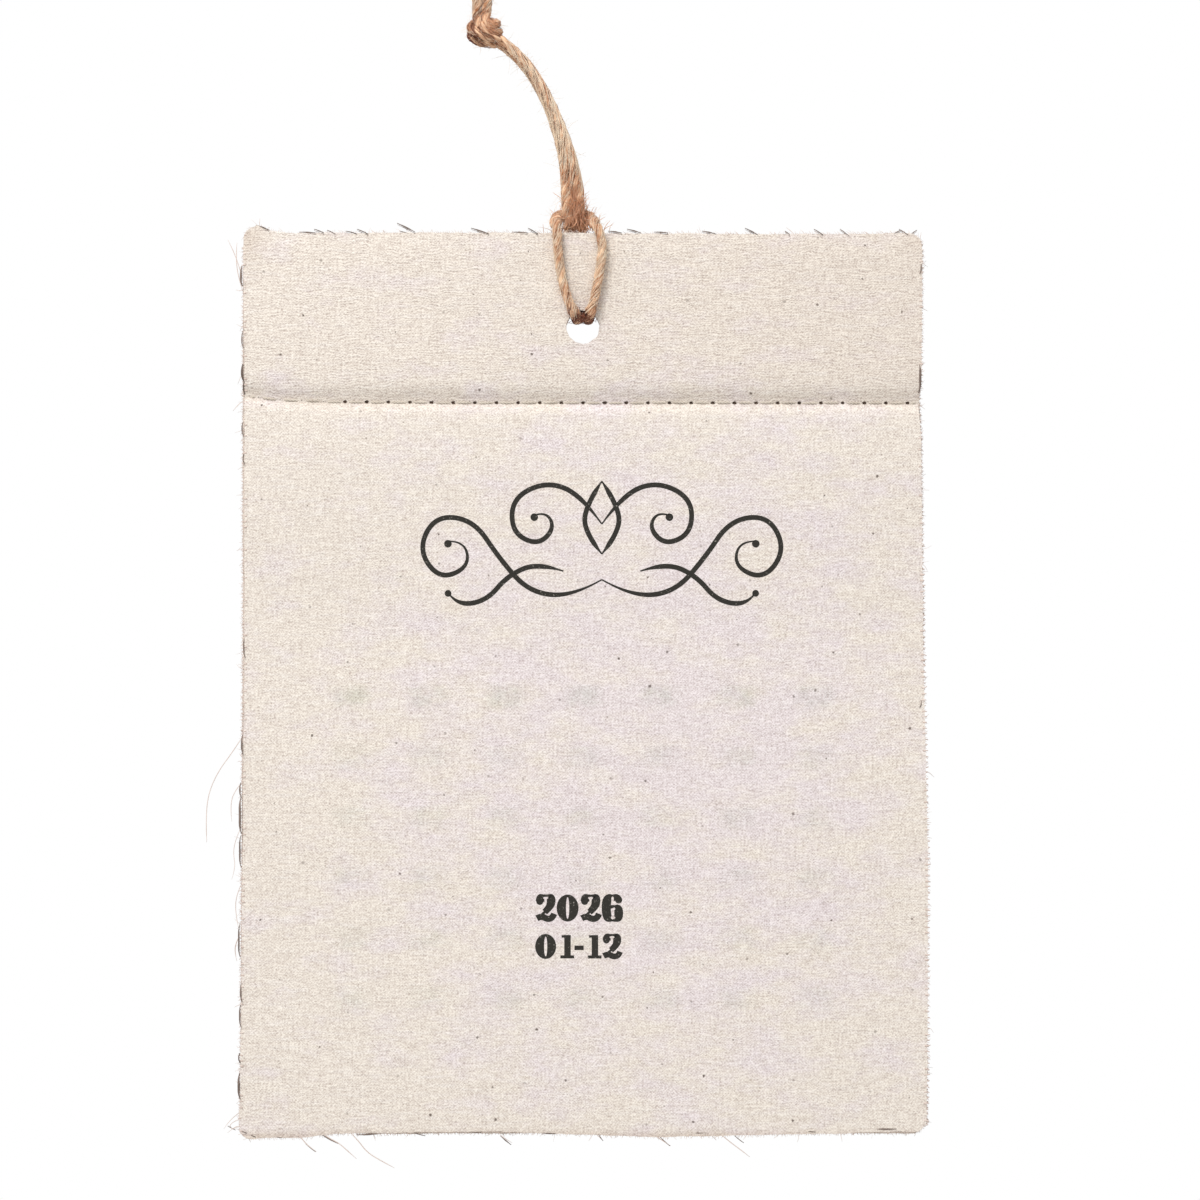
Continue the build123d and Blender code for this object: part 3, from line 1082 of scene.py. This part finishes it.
# Fat-faced numerals as pen lines in a cell 1 wide and 1 high. Each line has its least and most width, as
# shares of the fat stroke's: the pen is widest where it moves upright.
two_bowl = [(0.18, 0.76), (0.2, 0.96), (0.5, 0.99), (0.8, 0.96), (0.82, 0.66), (0.6, 0.44), (0.44, 0.34)]
two_foot = [(0.0, 0.1), (0.25, 0.2), (0.6, 0.06), (0.9, 0.12), (0.98, 0.28)]
six_stem = [(0.78, 0.84), (0.7, 0.97), (0.4, 1.0), (0.2, 0.84), (0.15, 0.5), (0.2, 0.18), (0.34, 0.02)]
six_bowl = [(0.5, 0.02), (0.72, 0.02), (0.84, 0.16), (0.84, 0.44), (0.72, 0.57), (0.5, 0.57), (0.28, 0.52)]
numeral_lines = {
    "1": [
        ([(0.55, 0.98), (0.55, 0.02)], 0.8, 0.8),
        ([(0.1, 0.92), (0.55, 0.93)], 0.3, 0.3),
        ([(0.0, 0.06), (1.06, 0.06)], 0.38, 0.38),
    ],
    "2": [
        (two_bowl, 0.25, 1.0),
        ([(0.56, 0.42), (0.3, 0.26), (0.06, 0.08)], 0.3, 0.3),
        (two_foot, 0.72, 0.72),
    ],
    "6": [([*six_stem, (0.52, 0.02)], 0.2, 1.05), (six_bowl, 0.25, 1.0)],
    "-": [([(0.0, 0.44), (1.0, 0.44)], 0.55, 0.55)],
}
numeral_ovals = {"0": ((0.5, 0.525), (0.075, 0.42))}  # half sizes of the oval and of its opening
numeral_balls = {"2": [(0.22, 0.76)], "6": [(0.78, 0.82)]}
pen_inset = 0.84  # the fat pen's middle keeps inside the cell by this


def pierced_oval(x, z, outer, inner, count=40):
    """An oval with an oval opening, each given by its half width and half height."""
    points, triangles = [], []
    for k in range(count):
        angle = 2 * math.pi * k / count
        for half_wide, half_high in (outer, inner):
            points.append((x + half_wide * math.cos(angle), z + half_high * math.sin(angle)))
    for k in range(0, 2 * count, 2):
        next_outer, next_inner = (k + 2) % (2 * count), (k + 3) % (2 * count)
        triangles += [(k, k + 1, next_inner), (k, next_inner, next_outer)]
    return points, triangles


def numeral(character, x_px, width_px, y_px, height_px):
    """One numeral's shapes, in its box of the photograph's pixels."""
    left, foot = from_photo(x_px, y_px + height_px)
    wide, high = width_px * pixel, height_px * pixel
    fat = 0.34 * high
    shapes = []
    if character in numeral_ovals:
        sizes = [(w * wide, h * high) for w, h in numeral_ovals[character]]
        shapes.append(pierced_oval(left + wide / 2, foot + high / 2, *sizes))
    for skeleton, least, most in numeral_lines.get(character, []):
        inset = [(0.5 + (x - 0.5) * pen_inset, z) for x, z in skeleton]
        line = stroke_line([(x * wide / mm, z * high / mm) for x, z in inset], 0.12)
        widths = []
        for i in range(len(line)):
            upright = abs(direction(*neighbours(line, i))[1])
            widths.append(fat * (least + (most - least) * upright**1.2))
        shapes.append(ribbon([(left + x * mm, foot + z * mm) for x, z in line], widths))
    for x, z in numeral_balls.get(character, []):
        shapes.append(disc(left + x * wide, foot + z * high, 0.14 * high))
    return shapes


# The rows of numerals in the photograph: top and height, then each one's left side and width, in pixels
numeral_rows_px = {
    "printed_year": (896, 25.8, "2026", (535, 556.5, 580, 601.5), (21, 22, 21, 22)),
    "printed_months": (935.5, 23.8, "01-12", (535, 559, 573.5, 586.5, 602), (21, 15.5, 11, 15.5, 20)),
}


def build_numerals():
    for name, (top, height, characters, lefts, widths) in numeral_rows_px.items():
        shapes = []
        for character, left, width in zip(characters, lefts, widths):
            shapes += numeral(character, left, width, top, height)
        print_on(name, shapes, cover_y, print_height, "cover")


def text_shapes(words, x, z, size):
    """Plain numbers in the built-in type, centred on a place, as flat points and triangles."""
    curve = bpy.data.curves.new("words", "FONT")
    curve.body = words
    curve.size = size
    curve.align_x = "CENTER"
    curve.align_y = "CENTER"
    curve.resolution_u = 3
    points, triangles = made_mesh(curve)
    return [(x + p.x, z + p.y) for p in points], triangles


month_name_px = (768, 525)
month_name_size = 17 * mm
day_size = 6.2 * mm
weekday_bar = (10 * mm, 1.1 * mm)


def build_first_month():
    leaf = Leaf(1)
    shapes = [text_shapes("01", *from_photo(*month_name_px), month_name_size)]
    for column in day_columns_px:
        x, z = from_photo(column, weekday_row_px)
        long, thick = weekday_bar
        shapes.append(ribbon([(x - long / 2, z), (x + long / 2, z)], [thick, thick]))
    for day in range(1, days_in_month + 1):
        cell = first_column + day - 1
        x, z = from_photo(day_columns_px[cell % 7], week_rows_px[cell // 7])
        shapes.append(text_shapes(str(day), x, z, day_size))
    piece = print_on("printed_first_month", shapes, leaf.y, print_height, "calendar_pad")


# Sewing


def plies(path, strand_offset, strand_radius, lay, count, step, swell=lambda place: 1.0):
    """The centre lines of a thread's twisted plies."""
    line = spaced(path, step)
    routes = [[] for _ in range(count)]
    for centre, (along, normal, across) in zip(line, frames_along(line)):
        for k in range(count):
            angle = 2 * math.pi * (k / count + along / lay)
            routes[k].append(centre + aside(normal, across, angle) * strand_offset * swell(centre))
    taper = [swell(centre) for centre in line]
    return [(route, strand_radius, taper) for route in routes]


def stitch_line(first, last, outward, depth, sway):
    """One stitch: up out of a needle hole, along the cloth and down the next."""

    def at(x, lift):
        cloth = cover_y(x, seam_at(x)) - cloth_thickness / 2 if depth else pad_y(x, seam_at(x), 0)
        return (x, cloth + outward * lift * mm, seam_at(x) + sway)

    into = 0.25 * mm
    bend = 0.75 * mm
    middle = (first + last) / 2
    lifts = [(into, -1.3), (into, -0.3), (bend, 0.12), (bend * 2, 0.3)]
    start = [at(first + along, lift) for along, lift in lifts]
    end = [at(last - along, lift) for along, lift in reversed(lifts)]
    return [*start, at(middle, 0.36), *end]


def build_stitches():
    rows = (
        ("needle_stitches", "needle_thread", month_count + 1, -1),
        ("bobbin_stitches", "bobbin_thread", 0, 1),
    )
    for name, node, depth, outward in rows:
        generator = random.Random(depth)
        routes = []
        places = needle_places()
        starts = [places[0] - stitch_pitch / 2, *places]
        ends = [*places, places[-1] + stitch_pitch / 2]
        for first, last in zip(starts, ends):
            sway = generator.uniform(-0.1, 0.1) * mm
            line = stitch_line(first, last, outward, depth, sway)
            ply = stitch_diameter / 4
            routes += plies(nurbs_line(line), ply, ply * 1.15, 1.6 * mm, 2, 0.22 * mm)
        piece = tubes_object(name, routes, sewing_cotton, sides=6)
        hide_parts(node)
        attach(piece, "calendar_pad")


def build_needle_pits():
    """Painted shade in the depth of the needle holes, as dark discs behind the slots."""
    shapes = []
    for x in needle_places():
        wide, high = needle_slot(x)
        ring = slot(x, seam_at(x), wide + 0.2 * mm, high + 0.1 * mm)
        shapes.append((ring, [(0, k, k + 1) for k in range(1, 5)]))
    depth = month_count - pit_depth + 1.5
    piece = print_on("needle_pits", shapes, lambda x, z: pad_y(x, z, depth), 0.0, "calendar_pad")
    piece.data.materials[0] = needle_hole_shade


# Twine

twine_route_mm = [
    (-20.0, -3.6, 150.6), (-17.4, -3.6, 148.9), (-12.8, -3.6, 144.3), (-8.5, -3.6, 136.7),
    (-5.9, -3.7, 129.0), (-4.25, -3.95, 122.0), (-3.8, -4.4, 116.0), (-3.5, -4.3, 110.0),
    (-2.9, -1.35, 104.8), (-2.2, -1.4, 97.8), (-1.45, -1.35, 90.4), (-1.4, -1.4, 85.5),
    (-1.4, -10.0, 85.5), (-3.7, -10.05, 89.9), (-5.3, -9.85, 96.2), (-5.9, -9.9, 102.4),
    (-6.1, -9.8, 107.0), (-6.6, -4.9, 108.4), (-5.6, -1.4, 110.3), (1.2, -1.4, 110.3),
    (2.4, -4.9, 108.4), (3.4, -9.8, 107.0), (4.7, -9.9, 102.4), (3.9, -9.85, 96.2),
    (2.7, -10.05, 89.9), (1.25, -10.05, 85.5), (1.25, -1.4, 85.5), (1.25, -1.35, 90.4),
    (0.5, -1.4, 97.8), (-0.3, -1.35, 104.8), (-0.9, -4.3, 110.0), (-1.2, -5.0, 116.0),
    (-2.35, -5.85, 122.6), (-4.7, -6.0, 129.4), (-7.9, -6.1, 136.9), (-12.4, -6.15, 144.5),
    (-17.0, -6.15, 149.3), (-19.6, -6.2, 151.0),
]

# The overhand knot's turns, in millimetres from its middle
knot_turns = [
    (3.4, 0.3, -1.6), (1.6, -1.5, -2.3), (-1.4, -1.9, -1.5), (-3.4, -0.2, -0.1), (-2.7, 1.7, 1.4),
    (0.2, 2.0, 2.0), (2.9, 0.8, 1.5), (2.9, -1.5, 0.4), (0.9, -2.3, 0.5), (-0.7, -1.2, 1.9),
    (-0.9, -0.1, 4.2),
]
pair_spacing = 1.9  # between the two strands inside the knot
end_lengths = (12.0, 10.0)
end_spacing = 2.15
knot_share = 0.72  # of each strand, what the knot's piece shows
tail_from = 0.68  # the share at which its cut end's piece begins

# Where the twine is worn or tight, where it lies in the hole and the knot, and where painted shade darkens
# its fibres: in the hole and under the knot
loosened_z = 111 * mm
loosened_reach = 9 * mm
in_hole_below = hole_z + 4 * mm
front_y = -8 * mm
knot_right = -18.5 * mm
knot_top = 158 * mm
under_knot_place = (-23 * mm, 152.8 * mm)
rope_lay = 32 * mm  # length of one full turn of the fibres round both strands

# How many fibres: on the route and on each end, round both strands, in the tangle, in the hole
fuzz_counts = (1300, 220, 220)
lying_counts = (1500, 320, 320)
wrapping_count = 520
tangle_count = 740
hole_fibre_count = 460


def loosened(place):
    """The twine's share of its usual girth, more where it has come loose."""
    if place.z < in_hole_below:
        return 1.06
    if place.y < front_y:
        return 0.88
    return 0.96 + 0.2 * math.exp(-(((place.z - loosened_z) / loosened_reach) ** 2))


def fibre_tone(place, generator):
    """0 for a pale fibre, 1 for a browner one, 2 for a dark one: dark in the hole and under the knot as
    painted shade, browner or dark in the rest of the knot, browner from the loose place down, palest on the
    front strands, and now and then dark elsewhere.
    """
    chance = generator.random()
    in_knot = place.x < knot_right and place.z < knot_top
    under_knot = in_knot and place.z < under_knot_place[1] + 0.4 * (under_knot_place[0] - place.x)
    if place.z < in_hole_below or under_knot:
        return 2 if chance < 0.9 else 1
    if in_knot:
        return 2 if chance < 0.25 else 1
    if place.y < front_y:
        return 1 if chance < 0.08 else 0
    if place.z < loosened_z + loosened_reach:
        return 1 if chance < 0.6 else 0
    return 2 if chance < 0.07 else 1 if chance < 0.16 else 0


def any_way(generator, spread):
    """A bend at random, in any direction."""
    return Vector([generator.gauss(0, spread) for _ in range(3)])


def thin_ends(count):
    """Shares of a fibre's radius at so many places along it."""
    return [0.4 + 0.6 * math.sin(math.pi * (j + 0.5) / count) for j in range(count)]


def hairs(lines, counts, generator):
    """Short fibres that stand off the twine."""
    routes = []
    for line, count in zip(lines, counts):
        line = spaced(line, 1.0 * mm)
        frames = frames_along(line)
        for _ in range(count):
            i = generator.randrange(1, len(line) - 1)
            if line[i].z < hole_z + 5 * mm:
                continue
            _, normal, across = frames[i]
            angle = generator.uniform(0, 2 * math.pi)
            spoke = aside(normal, across, angle)
            start = line[i] + spoke * twine_diameter * 0.42
            along = (line[i + 1] - line[i - 1]).normalized() * generator.choice((-1, 1))
            lift = generator.uniform(0.1, 0.8)
            length = generator.uniform(0.8, 2.8) * mm * loosened(line[i]) ** 2
            curl = any_way(generator, 0.35)
            path = []
            for t in (0.0, 0.35, 0.7, 1.0):
                heading = along * (1 - 0.4 * t) + spoke * lift * (0.5 + t) + curl * t
                path.append(start + heading * length * t)
            routes.append((path, generator.uniform(0.02, 0.04) * mm, [1.0, 1.0, 0.8, 0.4]))
    return routes


def lying_fibres(lines, counts, generator):
    """Longer fibres that lie along the twine's surface, a little out of its plies."""
    routes = []
    step = 0.7 * mm
    for line, count in zip(lines, counts):
        line = spaced(line, step)
        frames = frames_along(line)
        for _ in range(count):
            run = generator.randint(5, 15)
            first = generator.randrange(0, len(line) - run)
            angle = generator.uniform(0, 2 * math.pi)
            turn = 2 * math.pi * step / twine_lay * generator.uniform(0.3, 1.2)
            out = generator.uniform(0.02, 0.10)
            path = []
            for j in range(run):
                _, normal, across = frames[first + j]
                spoke = aside(normal, across, angle + turn * j)
                reach = 0.42 + out * math.sin(math.pi * (j + 0.5) / run)
                path.append(line[first + j] + spoke * twine_diameter * reach * loosened(line[first + j]))
            routes.append((path, generator.uniform(0.03, 0.07) * mm, thin_ends(run)))
    return routes


def tangle(generator, count):
    """Loose fibres between the strands, where the hitch has worn them above the top edge."""
    routes = []
    for _ in range(count):
        up = abs(generator.gauss(0, 4.5))
        spread = 2.3 * math.exp(-up / 6) + 0.9 * math.exp(-up)
        middle = -1.2 - 0.12 * up
        place = Vector((generator.gauss(middle, spread), generator.uniform(-6.6, -1.8), 105.5 + up))
        heading = Vector((generator.gauss(0, 0.25), generator.gauss(0, 0.25), generator.choice((-1, 1))))
        curl = any_way(generator, 0.35)
        length = generator.uniform(1.5, 4.0)
        path = [(place + (heading + curl * t) * length * t) * mm for t in (0.0, 0.25, 0.5, 0.75, 1.0)]
        if min(p.z for p in path) > top_z + 0.3 * mm:
            routes.append((path, generator.uniform(0.05, 0.11) * mm, [0.6, 1.0, 1.0, 0.8, 0.4]))
    return routes


def worn_in_hole(generator, count):
    """Dark fibres between the two strands where they go through the hole, as painted shade."""
    routes = []
    for _ in range(count):
        across = generator.gauss(-0.1, 1.0)
        place = Vector((across, generator.uniform(-10.6, -3.6), generator.gauss(85.5, 0.6)))
        heading = Vector((generator.gauss(0, 0.7), generator.gauss(0, 0.5), generator.gauss(0.2, 0.7)))
        curl = any_way(generator, 0.3)
        length = generator.uniform(0.6, 1.5)
        path = [(place + (heading + curl * t) * length * (t - 0.5)) * mm for t in (0.0, 0.35, 0.7, 1.0)]
        if min(p.z for p in path) > hole_z + 0.9 * mm:
            routes.append((path, generator.uniform(0.05, 0.12) * mm, [0.5, 1.0, 1.0, 0.5]))
    return routes


def wrapping_fibres(first, second, count, generator):
    """Fibres wound loosely round both standing strands, which make one rope of them."""
    step = 0.8 * mm
    first = spaced(first, step)
    second = spaced(second, step)
    middles, apart = [], []
    for point in first:
        nearest = min(second, key=lambda other: (other - point).length_squared)
        middles.append((point + nearest) / 2)
        apart.append(point - nearest)
    frames = frames_along(middles)
    routes = []
    for _ in range(count):
        run = generator.randint(7, 20)
        start = generator.randrange(0, len(middles) - run)
        angle = generator.uniform(0, 2 * math.pi)
        turn = 2 * math.pi * step / rope_lay * generator.uniform(0.5, 1.3)
        path = []
        for j in range(run):
            tangent = frames[start + j][1].cross(frames[start + j][2])
            gap = apart[start + j]
            girth = twine_diameter * loosened(middles[start + j])
            a = angle + turn * j
            lift = 1 + 0.06 * math.sin(math.pi * j / run)
            spoke = gap.normalized() * math.cos(a) * (gap.length / 2 + girth * 0.47)
            spoke += tangent.cross(gap).normalized() * math.sin(a) * girth * 0.53
            path.append(middles[start + j] + spoke * lift)
        routes.append((path, generator.uniform(0.04, 0.08) * mm, thin_ends(run)))
    return routes


def jute_routes(line):
    """The twine's two plies."""
    return plies(line, twine_diameter * 0.23, twine_diameter * 0.26, twine_lay, 2, 0.4 * mm, loosened)


def build_twine():
    generator = random.Random(11)
    route = nurbs_line([Vector(p) * mm for p in twine_route_mm], 10)
    twine = tubes_object("jute_twine", jute_routes(route), jute, sides=15, grooves=5)
    knot_middle = sum(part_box("twine_knot"), Vector()) / 2
    ends_in_knot = ((-1, route[0]), (1, route[-1]))
    strands = [knot_strand(knot_middle, s, p, length) for (s, p), length in zip(ends_in_knot, end_lengths)]
    turns = [strand[: int(len(strand) * knot_share)] for strand in strands]
    tails = [strand[int(len(strand) * tail_from):] for strand in strands]
    knot = tubes_object("jute_knot", [r for s in turns for r in jute_routes(s)], jute, 15, 5)
    ends = tubes_object("jute_ends", [r for s in tails for r in jute_routes(s)], jute, 15, 5)
    lines = [route, *strands]
    fuzz = tubes_object("jute_fuzz", hairs(lines, fuzz_counts, generator), jute_fibre)
    halfway = len(route) // 2
    strands_up = [[p for p in half if p.z > loosened_z] for half in (route[:halfway], route[halfway:])]
    lying = wrapping_fibres(*strands_up, wrapping_count, generator)
    lying += lying_fibres(lines, lying_counts, generator)
    # the last list holds dark fibres: painted shade in the hole and under the knot, and a few dark fibres
    # elsewhere
    toned = [[], tangle(generator, tangle_count), worn_in_hole(generator, hole_fibre_count)]
    for fibre in lying:
        middle = fibre[0][len(fibre[0]) // 2]
        toned[fibre_tone(middle, generator)].append(fibre)
    fibres = tubes_object("jute_fibres", toned[0], jute_fibre)
    worn = tubes_object("jute_tangle", toned[1], worn_jute)
    dark_shaded = tubes_object("jute_dark_and_shaded", toned[2], dark_and_shaded_jute)
    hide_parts("hanging_twine")
    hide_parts("twine_knot")
    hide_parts("twine_ends")
    for piece in (twine, knot, ends, fuzz, fibres, worn, dark_shaded):
        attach(piece, "calendar_pad")


def knot_strand(middle, side, start, length):
    """One of the two strands, from where it enters the knot on to its cut end."""
    points = [start]
    for i, (x, y, z) in enumerate(knot_turns[1:], 1):
        before = Vector(knot_turns[i - 1])
        after = Vector(knot_turns[min(i + 1, len(knot_turns) - 1)])
        heading = (after - before).normalized()
        outward = Vector((x, y, z)).normalized()
        across = heading.cross(outward).normalized()
        points.append(middle + (Vector((x, y, z)) + across * side * pair_spacing / 2) * mm)
    foot = middle + Vector((side * end_spacing / 2 - 0.8, 0, 4.0)) * mm
    tip = foot + Vector((side * 0.3, 0, length)) * mm
    points += [foot, (foot + tip) / 2 + Vector((0.3, -0.2, 0)) * mm, tip]
    return nurbs_line(points, 10)


studio()
build_leaves()
build_scroll()
build_numerals()
build_first_month()
build_stitches()
build_needle_pits()
build_twine()
